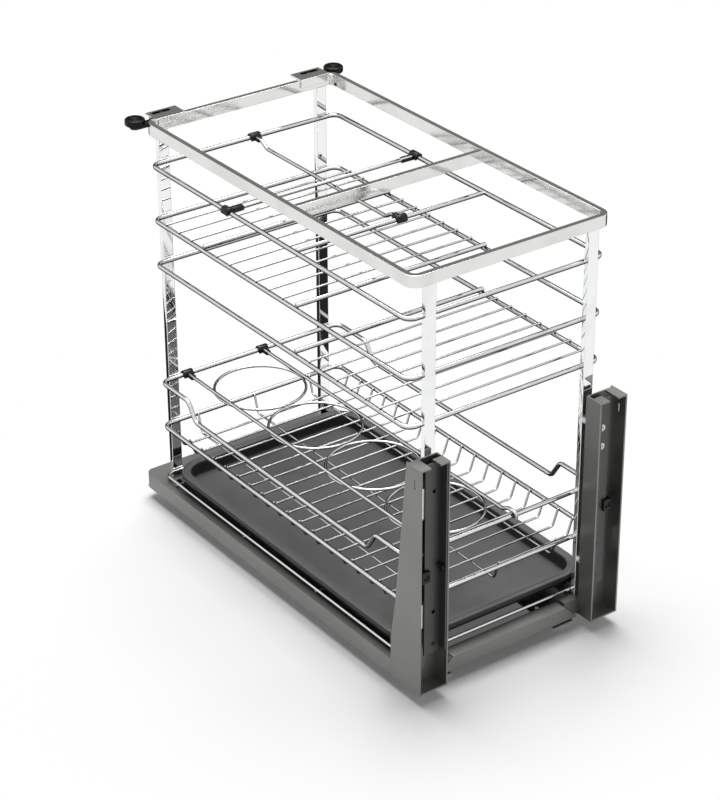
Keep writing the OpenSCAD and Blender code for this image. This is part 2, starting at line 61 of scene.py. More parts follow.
bpy.ops.object.camera_add(
    location=(-1.3828, -1.8895, 1.4767),
    rotation=(math.radians(90 - 28.5454), 0, math.radians(-36.4616)),
)
camera = bpy.context.object
camera.name = "camera"
camera.data.sensor_width = 36
camera.data.lens = 114.83
camera.data.shift_x = -0.0269
camera.data.shift_y = -0.0115
camera.data.clip_start = 0.05
camera.data.clip_end = 60
bpy.context.scene.camera = camera
bpy.context.scene.view_settings.view_transform = "Standard"

# ---------------------------------------------------------------------------
# Studio: a white floor, a white room and one large soft lamp overhead.
# The floor shows white to the camera and in the chrome, and keeps the unit's
# soft shadow. Dark cards out of the picture give the chrome its dark lines.
# ---------------------------------------------------------------------------

bpy.ops.mesh.primitive_plane_add(size=16, location=(0, 0, -0.0004))
floor = bpy.context.object
floor.name = "studio_floor"
floor_paint = bpy.data.materials.new("floor_white")
floor_paint.use_nodes = True
tree = floor_paint.node_tree
tree.nodes.clear()
seen = tree.nodes.new("ShaderNodeLightPath")
matt = tree.nodes.new("ShaderNodeBsdfDiffuse")
matt.inputs["Color"].default_value = (0.92, 0.92, 0.92, 1)
lift = tree.nodes.new("ShaderNodeEmission")
lift.inputs["Color"].default_value = (1, 1, 1, 1)
lift.inputs["Strength"].default_value = 0.1
both = tree.nodes.new("ShaderNodeAddShader")
pick = tree.nodes.new("ShaderNodeMixShader")
either = tree.nodes.new("ShaderNodeMath")
either.operation = "MAXIMUM"
out = tree.nodes.new("ShaderNodeOutputMaterial")
far = tree.nodes.new("ShaderNodeEmission")
far.inputs["Color"].default_value = (1, 1, 1, 1)
far.inputs["Strength"].default_value = 1.0
spot = tree.nodes.new("ShaderNodeTexCoord")
reach = tree.nodes.new("ShaderNodeVectorMath")
reach.operation = "LENGTH"
fade = tree.nodes.new("ShaderNodeMapRange")
fade.interpolation_type = "SMOOTHSTEP"
fade.inputs["From Min"].default_value = 0.24
fade.inputs["From Max"].default_value = 0.5
blend = tree.nodes.new("ShaderNodeMixShader")
tree.links.new(spot.outputs["Object"], reach.inputs[0])
tree.links.new(reach.outputs["Value"], fade.inputs["Value"])
tree.links.new(seen.outputs["Is Camera Ray"], either.inputs[0])
tree.links.new(seen.outputs["Is Glossy Ray"], either.inputs[1])
tree.links.new(matt.outputs[0], both.inputs[0])
tree.links.new(lift.outputs[0], both.inputs[1])
tree.links.new(fade.outputs["Result"], blend.inputs[0])
tree.links.new(both.outputs[0], blend.inputs[1])
tree.links.new(far.outputs[0], blend.inputs[2])
tree.links.new(either.outputs[0], pick.inputs[0])
tree.links.new(matt.outputs[0], pick.inputs[1])
tree.links.new(blend.outputs[0], pick.inputs[2])
tree.links.new(pick.outputs[0], out.inputs["Surface"])
floor.data.materials.append(floor_paint)
floor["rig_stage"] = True

room = bpy.data.worlds.new("white_room")
bpy.context.scene.world = room
room.use_nodes = True
tree = room.node_tree
tree.nodes.clear()
seen = tree.nodes.new("ShaderNodeLightPath")
soft = tree.nodes.new("ShaderNodeBackground")
soft.inputs["Color"].default_value = (1, 1, 1, 1)
soft.inputs["Strength"].default_value = 0.045
white = tree.nodes.new("ShaderNodeBackground")
white.inputs["Color"].default_value = (1, 1, 1, 1)
white.inputs["Strength"].default_value = 1.0
pick = tree.nodes.new("ShaderNodeMixShader")
out = tree.nodes.new("ShaderNodeOutputWorld")
shine = tree.nodes.new("ShaderNodeMath")
shine.operation = "MAXIMUM"
glass = tree.nodes.new("ShaderNodeMath")
glass.operation = "MAXIMUM"
tree.links.new(seen.outputs["Is Camera Ray"], shine.inputs[0])
tree.links.new(seen.outputs["Is Glossy Ray"], shine.inputs[1])
tree.links.new(shine.outputs[0], glass.inputs[0])
tree.links.new(seen.outputs["Is Transmission Ray"], glass.inputs[1])
tree.links.new(glass.outputs[0], pick.inputs[0])
tree.links.new(soft.outputs[0], pick.inputs[1])
tree.links.new(white.outputs[0], pick.inputs[2])
tree.links.new(pick.outputs[0], out.inputs["Surface"])

lamp_place = Vector((0.25, 0.55, 2.5))
aim = (Vector((0, 0, 0.2)) - lamp_place).to_track_quat("-Z", "Y").to_euler()
bpy.ops.object.light_add(type="AREA", location=lamp_place, rotation=aim)
lamp = bpy.context.object
lamp.name = "overhead_softbox"
lamp.data.size = 1.9
lamp.data.energy = 80.0

for name, place, turn, width, height, shade in [
    ("rear_low_card", (0.85, 1.17, 0.4), (90, 0, -36), 3.0, 0.8, 0.03),
    ("rear_high_card", (0.85, 1.17, 1.4), (90, 0, -36), 3.0, 1.2, 0.22),
    ("rear_floor_card", (0.3, 1.15, 0.0004), (0, 0, 0), 1.3, 1.7, 0.02),
    ("right_floor_card", (1.12, 0.45, 0.0006), (0, 0, 0), 1.76, 1.5, 0.02),
]:
    bpy.ops.mesh.primitive_plane_add(
        size=1,
        location=place,
        rotation=[math.radians(angle) for angle in turn],
    )
    card = bpy.context.object
    card.name = name
    card.scale = (width, height, 1)
    card_paint = bpy.data.materials.new(name)
    card_paint.use_nodes = True
    surface = card_paint.node_tree.nodes["Principled BSDF"]
    surface.inputs["Base Color"].default_value = (0, 0, 0, 1)
    surface.inputs["Specular IOR Level"].default_value = 0.0
    surface.inputs["Emission Color"].default_value = (shade, shade, shade, 1)
    surface.inputs["Emission Strength"].default_value = 1.0
    card.data.materials.append(card_paint)
    card.visible_camera = False
    card.visible_shadow = False
    card.visible_diffuse = False
    card.visible_transmission = False
    card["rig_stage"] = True

# ---------------------------------------------------------------------------
# Posts: four upright flat bars of steel, 12.4 by 6 mm, bright chrome plated.
# Their long edges are drawn with a small radius, and the plating is a mirror
# with a faint haze and slow waves from polishing.
# ---------------------------------------------------------------------------


class Flow:
    """A value that runs from socket to socket of a material and takes part in sums."""

    def __init__(self, tree, socket):
        self.tree = tree
        self.socket = socket

    def node(self, kind, settings=None, inputs=None, output=0):
        made = self.tree.nodes.new(kind)
        for key, value in (settings or {}).items():
            setattr(made, key, value)
        for key, value in (inputs or {}).items():
            if isinstance(value, Flow):
                self.tree.links.new(value.socket, made.inputs[key])
            else:
                made.inputs[key].default_value = value
        return Flow(self.tree, made.outputs[output])

    def sum(self, operation, first, second):
        return self.node("ShaderNodeMath", {"operation": operation}, {0: first, 1: second})

    def __add__(self, other):
        return self.sum("ADD", self, other)

    def __radd__(self, other):
        return self.sum("ADD", other, self)

    def __sub__(self, other):
        return self.sum("SUBTRACT", self, other)

    def __rsub__(self, other):
        return self.sum("SUBTRACT", other, self)

    def __mul__(self, other):
        return self.sum("MULTIPLY", self, other)

    def __rmul__(self, other):
        return self.sum("MULTIPLY", other, self)

    def between(self, low, high):
        """0 below low, 1 above high, smooth in between."""
        return self.node(
            "ShaderNodeMapRange",
            {"interpolation_type": "SMOOTHSTEP"},
            {"Value": self, "From Min": low, "From Max": high},
        )

    def tint(self, first, second):
        """The first colour where this is 0 and the second where it is 1."""
        return self.node(
            "ShaderNodeMix",
            {"data_type": "RGBA"},
            {0: self, 6: first, 7: second},
            output=2,
        )


def finish(name):
    """A new finish: its place on the piece, and the surface that it feeds."""
    made = bpy.data.materials.new(name)
    made.use_nodes = True
    surface = made.node_tree.nodes["Principled BSDF"]
    place = made.node_tree.nodes.new("ShaderNodeTexCoord").outputs["Object"]
    return made, surface, Flow(made.node_tree, place)


def chrome_plate(name, shade, haze, wave, painted_shade_under=1.0):
    """Plating of a shade; with a share below 1, painted shade dims the colour to that share where
    the surface faces down, for the dark inside that it mirrors.
    """
    made, surface, place = finish(name)
    slow = place.node("ShaderNodeTexNoise", {}, {"Vector": place, "Scale": 26.0, "Detail": 3.0})
    smear = slow.between(0.42, 0.68)
    dull = (shade[0] * 0.93, shade[1] * 0.93, shade[2] * 0.92, 1)
    colour = smear.tint((*shade, 1), dull)
    # painted shade: faces turned downwards take only the given share of the plating's colour
    if painted_shade_under < 1.0:
        facing = place.node("ShaderNodeNewGeometry", output="Normal")
        level = place.node("ShaderNodeSeparateXYZ", {}, {0: facing}, output="Z")
        colour = level.between(-0.25, 0.55).tint(tuple(painted_shade_under * c for c in shade) + (1,), colour)
    rough = haze + smear * 0.04
    bump = place.node("ShaderNodeBump", {}, {"Strength": wave, "Distance": 0.0004, "Height": slow})
    surface.inputs["Metallic"].default_value = 1.0
    tree = made.node_tree
    tree.links.new(colour.socket, surface.inputs["Base Color"])
    tree.links.new(rough.socket, surface.inputs["Roughness"])
    tree.links.new(bump.socket, surface.inputs["Normal"])
    return made


def softened(node, body, edge, coat, name, segments=2):
    """The CAD node's shape, its sharp edges rounded off as a press, die or mould leaves them."""
    bpy.ops.object.select_all(action="DESELECT")
    source = cad_nodes[node]
    piece = source.copy()
    piece.data = source.data.copy()
    for key in [k for k in piece.keys() if k.startswith("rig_")]:
        del piece[key]
    piece.parent = None
    piece.name = name
    bpy.context.collection.objects.link(piece)
    piece.select_set(True)
    bpy.context.view_layer.objects.active = piece
    bpy.ops.object.mode_set(mode="EDIT")
    bpy.ops.mesh.select_all(action="SELECT")
    bpy.ops.mesh.remove_doubles(threshold=0.000002)
    bpy.ops.mesh.dissolve_limited(angle_limit=math.radians(0.5), use_dissolve_boundaries=False)
    bpy.ops.object.mode_set(mode="OBJECT")
    bevel = piece.modifiers.new("edges", "BEVEL")
    bevel.width = edge
    bevel.segments = segments
    bevel.limit_method = "ANGLE"
    bevel.angle_limit = math.radians(32)
    bevel.use_clamp_overlap = True
    bpy.ops.object.modifier_apply(modifier="edges")
    bpy.ops.object.shade_smooth_by_angle(angle=math.radians(60))
    level = piece.modifiers.new("flats", "WEIGHTED_NORMAL")
    level.weight = 100
    level.keep_sharp = True
    bpy.ops.object.modifier_apply(modifier="flats")
    piece.data.materials.clear()
    piece.data.materials.append(coat)
    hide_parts(node)
    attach(piece, body)
    return piece


def coat_node(node, coat):
    """A CAD node keeps its shape and takes its real finish."""
    piece = cad_nodes[node]
    piece.data.materials.clear()
    piece.data.materials.append(coat)


post_chrome = chrome_plate("post_chrome", (0.88, 0.885, 0.89), 0.03, 0.02)
for post in ["post_front_left", "post_front_right", "post_rear_left", "post_rear_right"]:
    softened(post, "carriage", 0.0006, post_chrome, post + "_bar")

# ---------------------------------------------------------------------------
# Top frame: one flat bar bent on edge into a rounded rectangle, with a cross
# bar let in between its sides. It is a little duller than the posts.
# ---------------------------------------------------------------------------

bar_chrome = chrome_plate("bar_chrome", (0.76, 0.76, 0.745), 0.08, 0.02)
softened("top_frame", "carriage", 0.0005, bar_chrome, "top_frame_bar")
softened("top_crossbar", "carriage", 0.0005, bar_chrome, "top_cross_bar")

# ---------------------------------------------------------------------------
# Rails: closed loops of 5 mm round wire welded inside the posts, the lower
# basket's bottom rail and the thinner rim that holds the tray. Each is bent
# from one length and chrome plated as one welded frame.
# ---------------------------------------------------------------------------

# painted shade: the rails' and wires' undersides are dimmed to 0.16 of the plating's colour
wire_chrome = chrome_plate("wire_chrome", (0.72, 0.722, 0.722), 0.06, 0.02, painted_shade_under=0.16)
surface = wire_chrome.node_tree.nodes["Principled BSDF"]
# painted shade: the grazing reflections are tinted near black, darkening the wires' outlines
surface.inputs["Specular Tint"].default_value = (0.1, 0.1, 0.1, 1)
# the middle of the rails' wire, to the side and to the front or back, and the upper rail's height
rail_x, rail_y, upper_z = 118.35, 222.7, 397.6


def at_loops(x, y, z):
    """A place given in millimetres from the middle of the rails and the underside of the base."""
    return Vector((x, y + 3, z + 13)) / 1000


def bent_wire(name, places, thickness, bend, closed=False, sides=14):
    """A round wire off a bender: straight between places, each corner turned on the bend radius."""
    radius = thickness / 2000
    # a cut end is rounded over: its face is this share of the wire, its edge this far back
    end_face, end_back = 0.6, radius * 0.35
    path = [Vector(p) for p in places]
    count = len(path)
    corners = []
    for i in range(count):
        if not closed and i in (0, count - 1):
            corners.append((path[i], path[i], None, 0.0))
            continue
        before, after = path[i] - path[i - 1], path[(i + 1) % count] - path[i]
        turn = before.angle(after)
        if turn < 0.001:
            corners.append((path[i], path[i], None, 0.0))
            continue
        size = (bend[i] if isinstance(bend, list) else bend) / 1000
        back = size * math.tan(turn / 2)
        axis = before.cross(after).normalized()
        start = path[i] - before.normalized() * back
        middle = start + axis.cross(before.normalized()) * size
        corners.append((start, path[i] + after.normalized() * back, (middle, axis), turn))
    begin = (path[0] + path[-1]) / 2 if closed else path[0]
    heading = ((path[0] - path[-1]) if closed else (path[1] - path[0])).normalized()
    bpy.ops.object.select_all(action="DESELECT")
    bpy.ops.mesh.primitive_circle_add(
        vertices=sides,
        radius=radius if closed else radius * end_face,
        fill_type="NOTHING" if closed else "NGON",
        location=begin,
        rotation=heading.to_track_quat("Z", "Y").to_euler(),
    )
    wire = bpy.context.object
    wire.name = name
    bpy.ops.object.mode_set(mode="EDIT")
    bpy.ops.mesh.select_all(action="SELECT")
    here = begin
    if not closed:
        here = begin + heading * end_back
        bpy.ops.mesh.extrude_region_move(TRANSFORM_OT_translate={"value": here - begin})
        bpy.ops.transform.resize(value=(1 / end_face,) * 3, center_override=here)
    for start, end, centre, turn in corners if closed else corners[1:]:
        last = not closed and centre is None and start == path[-1]
        stop = start - heading * end_back if last else start
        if (stop - here).length > 0.00001:
            bpy.ops.mesh.extrude_region_move(TRANSFORM_OT_translate={"value": stop - here})
        if centre:
            middle, axis = centre
            steps = max(3, round(math.degrees(turn) / 9))
            bpy.ops.mesh.spin(steps=steps, angle=-turn, center=middle, axis=axis)
            heading = (Vector(end) - path[[c[1] for c in corners].index(end)]).normalized()
        here = end if centre else stop
    if closed:
        bpy.ops.mesh.extrude_region_move(TRANSFORM_OT_translate={"value": begin - here})
        bpy.ops.mesh.select_all(action="SELECT")
        bpy.ops.mesh.remove_doubles(threshold=0.00002)
    else:
        bpy.ops.mesh.extrude_region_move(TRANSFORM_OT_translate={"value": path[-1] - here})
        bpy.ops.transform.resize(value=(end_face,) * 3, center_override=path[-1])
    bpy.ops.mesh.select_all(action="SELECT")
    bpy.ops.mesh.normals_make_consistent(inside=False)
    bpy.ops.object.mode_set(mode="OBJECT")
    bpy.ops.object.transform_apply(location=True, rotation=True, scale=True)
    bpy.ops.object.shade_smooth_by_angle(angle=math.radians(40))
    return wire


for rail, high in [
    ("upper_guard_rail", upper_z),
    ("rear_shelf_rail", 335.2),
    ("front_shelf_rail", 283.1),
    ("basket_bottom_rail", 86.6),
]:
    loop = bent_wire(
        rail + "_bent",
        [
            at_loops(rail_x, rail_y, high),
            at_loops(rail_x, -rail_y, high),
            at_loops(-rail_x, -rail_y, high),
            at_loops(-rail_x, rail_y, high),
        ],
        5,
        10,
        closed=True,
        sides=20,
    )
    loop.data.materials.append(wire_chrome)
    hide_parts(rail)
    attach(loop, "carriage")

# ---------------------------------------------------------------------------
# Tray holder: a 3.8 mm wire rim bent to the same outline, on four 3 mm cross
# wires that lie on the base's flanges. The tray stands on them.
# ---------------------------------------------------------------------------

rim_z = 23.2
rim = bent_wire(
    "tray_holder_rim_bent",
    [
        at_loops(rail_x, rail_y, rim_z),
        at_loops(rail_x, -rail_y, rim_z),
        at_loops(-rail_x, -rail_y, rim_z),
        at_loops(-rail_x, rail_y, rim_z),
    ],
    3.8,
    10,
    closed=True,
    sides=16,
)


def cut_wire(name, start, finish, thickness, sides=14):
    """A straight length of round wire, its cut ends rounded over."""
    return bent_wire(name, [start, finish], thickness, 0, sides=sides)


cross = cut_wire(
    "tray_cross_wires",
    at_loops(-119.3, -200, 19.9),
    at_loops(119.3, -200, 19.9),
    3,
)
rows = cross.modifiers.new("rows", "ARRAY")
rows.use_relative_offset = False
rows.use_constant_offset = True
rows.constant_offset_displace = (0, 0.4 / 3, 0)
rows.count = 4
bpy.ops.object.modifier_apply(modifier="rows")
for wire in [rim, cross]:
    wire.data.materials.append(wire_chrome)
    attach(wire, "carriage")
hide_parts("tray_holder_rim")

# ---------------------------------------------------------------------------
# Shelf wires: 2.2 mm round wire laid across the rails and welded on top, with
# thicker ones at the step. Their cut ends stand just proud of the rails.
# ---------------------------------------------------------------------------

# each shelf's first wire and pitch, its count, its thin wires' height, then which are thick
for grid, first, pitch, count, high, heavy, height in [
    ("rear_shelf_grid", -41.0, 23.8, 11, 338.75, (0, 7), 340.15),
    ("front_shelf_grid", -38.0, -23.5, 8, 286.65, (0,), 288.05),
]:
    wires = []
    for i in range(count):
        y = first + i * pitch
        if i in heavy:
            reach, level, thickness, sides = 119.35, height, 5, 18
        else:
            reach, level, thickness, sides = 119.85, high, 2.25, 14
        ends = at_loops(-reach, y, level), at_loops(reach, y, level)
        wires.append(cut_wire(grid + "_part", *ends, thickness, sides))
    bpy.ops.object.select_all(action="DESELECT")
    for wire in wires:
        wire.select_set(True)
    bpy.context.view_layer.objects.active = wires[0]
    bpy.ops.object.join()
    wires[0].name = grid + "_wires"
    wires[0].data.materials.append(wire_chrome)
    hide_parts(grid)
    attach(wires[0], "carriage")

# ---------------------------------------------------------------------------
# Fixed wire across the upper rail and the rod of the cross divider: straight
# lengths, the first welded between the rail's sides, the second in its clips.
# ---------------------------------------------------------------------------

fixed_y, cross_rod_y = -38, 79
fixed = cut_wire(
    "fixed_cross_wire_drawn",
    at_loops(-116.2, fixed_y, upper_z),
    at_loops(116.2, fixed_y, upper_z),
    4.8,
    18,
)
fixed.data.materials.append(wire_chrome)
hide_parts("fixed_cross_wire")
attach(fixed, "carriage")
rod = cut_wire(
    "cross_divider_rod_drawn",
    at_loops(-113.35, cross_rod_y, upper_z),
    at_loops(113.35, cross_rod_y, upper_z),
    4,
    18,
)
rod.data.materials.append(wire_chrome)
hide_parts("cross_divider_rod")
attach(rod, "cross_divider")

# ---------------------------------------------------------------------------
# Lower basket's top rail: a closed loop of 5 mm wire whose long sides are bent
# down 20 mm between its ends, so that bottles can be taken out sideways.
# ---------------------------------------------------------------------------

lowered_z, raised_z = 120.0, 140.4
rail = bent_wire(
    "basket_top_rail_bent",
    [
        at_loops(rail_x, rail_y, raised_z),
        at_loops(rail_x, 168.5, raised_z),
        at_loops(rail_x, 155.6, lowered_z),
        at_loops(rail_x, -158, lowered_z),
        at_loops(rail_x, -171, raised_z),
        at_loops(rail_x, -rail_y, raised_z),
        at_loops(-rail_x, -rail_y, raised_z),
        at_loops(-rail_x, -171, raised_z),
        at_loops(-rail_x, -158, lowered_z),
        at_loops(-rail_x, 155.6, lowered_z),
        at_loops(-rail_x, 168.5, raised_z),
        at_loops(-rail_x, rail_y, raised_z),
    ],
    5,
    [10, 12, 12, 8, 8, 10, 10, 8, 8, 12, 12, 10],
    closed=True,
    sides=20,
)
rail.data.materials.append(wire_chrome)
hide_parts("basket_top_rail")
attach(rail, "carriage")

# ---------------------------------------------------------------------------
# Lower basket's floor: eighteen 2.5 mm cross wires bent up inside the bottom
# rail at both ends, on three long wires bent up in the same way.
# ---------------------------------------------------------------------------

floor_pitch, floor_count = 23.24, 18
first_y = -(floor_count - 1) / 2 * floor_pitch
cross = bent_wire(
    "basket_cross_wires_bent",
    [
        at_loops(-115.3, first_y, 89.2),
        at_loops(-108.2, first_y, 69.4),
        at_loops(108.2, first_y, 69.4),
        at_loops(115.3, first_y, 89.2),
    ],
    2.55,
    5,
)
rows = cross.modifiers.new("rows", "ARRAY")
rows.use_relative_offset = False
rows.use_constant_offset = True
rows.constant_offset_displace = (0, floor_pitch / 1000, 0)
rows.count = floor_count
bpy.ops.object.modifier_apply(modifier="rows")
cross.data.materials.append(wire_chrome)
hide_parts("basket_cross_wires")
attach(cross, "carriage")

long_pitch = 75
long = bent_wire(
    "basket_long_wires_bent",
    [
        at_loops(-long_pitch, -219.6, 89.2),
        at_loops(-long_pitch, -212.5, 67),
        at_loops(-long_pitch, 212.5, 67),
        at_loops(-long_pitch, 219.6, 89.2),
    ],
    2.55,
    5,
)
rows = long.modifiers.new("rows", "ARRAY")
rows.use_relative_offset = False
rows.use_constant_offset = True
rows.constant_offset_displace = (long_pitch / 1000, 0, 0)
rows.count = 3
bpy.ops.object.modifier_apply(modifier="rows")
long.data.materials.append(wire_chrome)
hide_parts("basket_long_wires")
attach(long, "carriage")

# ---------------------------------------------------------------------------
# Long divider rod: 4 mm wire, dipped between its ends to pass under the other
# rod, pressed into a clip at each end.
# ---------------------------------------------------------------------------

long_rod_x, dipped_z, rod_end_y = 11, 391.4, 217.7
dip = bent_wire(
    "long_divider_rod_bent",
    [
        at_loops(long_rod_x, -33, upper_z),
        at_loops(long_rod_x, -24, upper_z),
        at_loops(long_rod_x, -14, dipped_z),
        at_loops(long_rod_x, 198.7, dipped_z),
        at_loops(long_rod_x, 208.7, upper_z),
        at_loops(long_rod_x, rod_end_y, upper_z),
    ],
    4,
    9,
)
dip.data.materials.append(wire_chrome)
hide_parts("long_divider_rod")
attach(dip, "long_divider")

# ---------------------------------------------------------------------------
# Bottle rack rods: 4 mm wire, cranked up near the front and hooked over the
# basket's top rail, with the rings welded under them.
# ---------------------------------------------------------------------------

rack_left_x, rack_right_x, rack_z = -85.0, 14.0, 140.8
for word, x in [("left", rack_left_x), ("right", rack_right_x)]:
    rod = bent_wire(
        "rack_rod_" + word,
        [
            at_loops(x, rod_end_y, rack_z),
            at_loops(x, -206.7, rack_z),
            at_loops(x, -214.7, 145.2),
            at_loops(x, -227.5, 145.2),
            at_loops(x, -227.5, 137.4),
        ],
        4,
        [0, 8, 8, 2.8, 0],
    )
    rod.data.materials.append(wire_chrome)
    if word == "left":
        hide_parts("rack_rods")
    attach(rod, "bottle_rack")

# ---------------------------------------------------------------------------
# Bottle rings: four 100 mm rings of 3 mm wire, butt welded and welded under
# the rack's rods.
# ---------------------------------------------------------------------------

ring_pitch = 104.5
rings = []
for i in range(4):
    bpy.ops.object.select_all(action="DESELECT")
    bpy.ops.mesh.primitive_torus_add(
        major_radius=0.05,
        minor_radius=0.0015,
        major_segments=96,
        minor_segments=12,
        location=at_loops((rack_left_x + rack_right_x) / 2, -3.5 + (i - 1.5) * ring_pitch, 137.35),
    )
    rings.append(bpy.context.object)
for ring in rings:
    ring.select_set(True)
bpy.ops.object.join()
rings = bpy.context.object
rings.name = "bottle_rings_welded"
bpy.ops.object.transform_apply(location=True, rotation=True, scale=True)
bpy.ops.object.shade_smooth()
rings.data.materials.append(wire_chrome)
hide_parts("bottle_rings")
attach(rings, "bottle_rack")

# ---------------------------------------------------------------------------
# Divider and rack clips: moulded nylon. Each is a saddle that snaps over the
# wire it slides on, with an open cradle that the end of its rod is pressed in.
# ---------------------------------------------------------------------------


def moulded(name, colour, rough, grain, depth):
    """Moulded plastic of a colour, with a fine grain."""
    made, surface, place = finish(name)
    spark = place.node("ShaderNodeTexNoise", {}, {"Vector": place, "Scale": grain, "Detail": 4.0})
    cloud = place.node("ShaderNodeTexNoise", {}, {"Vector": place, "Scale": 14.0, "Detail": 3.0})
    light = tuple(min(1.0, c * 1.3) for c in colour)
    shade = cloud.between(0.35, 0.7).tint((*colour, 1), (*light, 1))
    bump = place.node("ShaderNodeBump", {}, {"Strength": 0.6, "Distance": depth, "Height": spark})
    tree = made.node_tree
    tree.links.new(shade.socket, surface.inputs["Base Color"])
    tree.links.new((rough + spark * 0.12).socket, surface.inputs["Roughness"])
    tree.links.new(bump.socket, surface.inputs["Normal"])
    return made


black_nylon = moulded("black_nylon", (0.006, 0.006, 0.006), 0.26, 1500.0, 0.00001)
surface = black_nylon.node_tree.nodes["Principled BSDF"]
surface.inputs["Specular IOR Level"].default_value = 0.3


def half_shell(name, start, finish, bore, thick, gap, upward):
    """A moulded shell along a round wire, with a gap of so many degrees above or below."""
    along = finish - start
    bpy.ops.object.select_all(action="DESELECT")
    bpy.ops.mesh.primitive_cylinder_add(
        vertices=36,
        radius=(bore + thick / 2) / 1000,
        depth=along.length,
        end_fill_type="NOTHING",
        location=(start + finish) / 2,
        rotation=along.to_track_quat("Z", "Y").to_euler(),
    )
    shell = bpy.context.object
    shell.name = name
    bpy.ops.object.transform_apply(location=True, rotation=True, scale=True)
    bpy.context.tool_settings.mesh_select_mode = (False, False, True)
    opening = Vector((0, 0, 1 if upward else -1))
    for face in shell.data.polygons:
        away = face.center - (start + finish) / 2
        away -= along.normalized() * away.dot(along.normalized())
        face.select = away.angle(opening) < math.radians(gap / 2)
    bpy.ops.object.mode_set(mode="EDIT")
    bpy.ops.mesh.delete(type="FACE")
    bpy.ops.object.mode_set(mode="OBJECT")
    wall = shell.modifiers.new("wall", "SOLIDIFY")
    wall.thickness = thick / 1000
    wall.offset = 0
    bpy.ops.object.modifier_apply(modifier="wall")
    edges = shell.modifiers.new("edges", "BEVEL")
    edges.width = 0.0003
    edges.segments = 2
    edges.limit_method = "ANGLE"
    edges.angle_limit = math.radians(50)
    bpy.ops.object.modifier_apply(modifier="edges")
    return shell


# each clip's wire and the way that it runs, the end of its cradle, and the cradle's gap
for clip, body, wire, along, rod_end, gap in [
    (
        "cross_divider_clip_left",
        "cross_divider",
        (-rail_x, cross_rod_y, upper_z),
        (0, 1),
        (-100, cross_rod_y, upper_z),
        40,
    ),
    (
        "cross_divider_clip_right",
        "cross_divider",
        (rail_x, cross_rod_y, upper_z),
        (0, 1),
        (100, cross_rod_y, upper_z),
        110,
    ),
    (
        "long_divider_clip_rear",
        "long_divider",
        (long_rod_x, rail_y, upper_z),
        (1, 0),
        (long_rod_x, 212.4, upper_z),
        120,
    ),
    (
        "long_divider_clip_front",
        "long_divider",
        (long_rod_x, fixed_y, upper_z),
        (1, 0),
        (long_rod_x, -27.6, upper_z),
        30,
    ),
    (
        "rack_clip_left",
        "bottle_rack",
        (rack_left_x, rail_y, raised_z),
        (1, 0),
        (rack_left_x, 210.5, rack_z),
        120,
    ),
    (
        "rack_clip_right",
        "bottle_rack",
        (rack_right_x, rail_y, raised_z),
        (1, 0),
        (rack_right_x, 210.5, rack_z),
        120,
    ),
]:
    middle, tip = at_loops(*wire), at_loops(*rod_end)
    half = Vector((*along, 0)) * 0.006
    saddle = half_shell(clip + "_saddle", middle - half, middle + half, 2.55, 2.3, 90, False)
    reach = tip - middle
    reach.z = 0
    root = middle + reach.normalized() * 0.0032
    root.z = tip.z
    cradle = half_shell(clip + "_cradle", root, tip, 2.05, 1.6, gap, True)
    bpy.ops.object.select_all(action="DESELECT")
    cradle.select_set(True)
    saddle.select_set(True)
    bpy.context.view_layer.objects.active = saddle
    bpy.ops.object.join()
    saddle.name = clip + "_moulded"
    bpy.ops.object.shade_smooth_by_angle(angle=math.radians(40))
    saddle.data.materials.append(black_nylon)
    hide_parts(clip)
    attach(saddle, body)

# ---------------------------------------------------------------------------
# Door clips, height cams, roller arms and guide rollers: the same black nylon,
# with moulded edges. The rollers are polished by their running.
# ---------------------------------------------------------------------------

for part, body in [
    ("door_clip_left", "door_fixing_left"),
    ("door_clip_right", "door_fixing_right"),
    ("height_cam_left", "cam_left"),
    ("height_cam_right", "cam_right"),
    ("roller_arm_left", "arm_left"),
    ("roller_arm_right", "arm_right"),
]:
    softened(part, body, 0.0005, black_nylon, part + "_moulded")
roller_nylon = moulded("roller_nylon", (0.003, 0.003, 0.003), 0.12, 1500.0, 0.000004)
surface = roller_nylon.node_tree.nodes["Principled BSDF"]
surface.inputs["Specular IOR Level"].default_value = 0.2
for part, body in [("guide_roller_left", "roller_left"), ("guide_roller_right", "roller_right")]:
    roller = softened(part, body, 0.0007, roller_nylon, part + "_moulded", segments=3)

# ---------------------------------------------------------------------------
# Drip tray: vacuum-formed grey plastic with a fine leather-like grain. Its steep
# walls carry painted shade, near black, and its rim top painted light, a lighter grey.
# ---------------------------------------------------------------------------

tray_grey = moulded("tray_grey", (0.115, 0.115, 0.114), 0.42, 700.0, 0.00002)
surface = tray_grey.node_tree.nodes["Principled BSDF"]
surface.inputs["Specular IOR Level"].default_value = 0.45
grey = Flow(tray_grey.node_tree, surface.inputs["Base Color"].links[0].from_socket)
# painted light and shade: the tray's steep walls are coloured near black and its rim, from 46 mm
# up, a lighter grey, for how the light falls on them
upward = grey.node("ShaderNodeTexCoord", output="Normal")
level = grey.node("ShaderNodeSeparateXYZ", {}, {0: upward}, output="Z")
height = grey.node("ShaderNodeTexCoord", output="Object")
height = grey.node("ShaderNodeSeparateXYZ", {}, {0: height}, output="Z")
grey = height.between(0.046, 0.051).tint(grey, (0.165, 0.165, 0.162, 1))
painted_wall_shade = level.between(0.1, 0.75).tint((0.01, 0.01, 0.01, 1), grey)
tray_grey.node_tree.links.new(painted_wall_shade.socket, surface.inputs["Base Color"])
bpy.ops.object.select_all(action="DESELECT")
bpy.ops.mesh.primitive_plane_add(size=1, location=at_loops(0, -6, 39.4))
tray = bpy.context.object
tray.name = "drip_tray_moulded"
bpy.ops.object.mode_set(mode="EDIT")
bpy.ops.mesh.select_all(action="SELECT")
bpy.ops.transform.resize(value=(0.2391, 0.43, 1))
bpy.ops.mesh.bevel(affect="VERTICES", offset=0.032, segments=12)
bpy.ops.mesh.select_mode(type="FACE")
bpy.ops.mesh.select_all(action="SELECT")
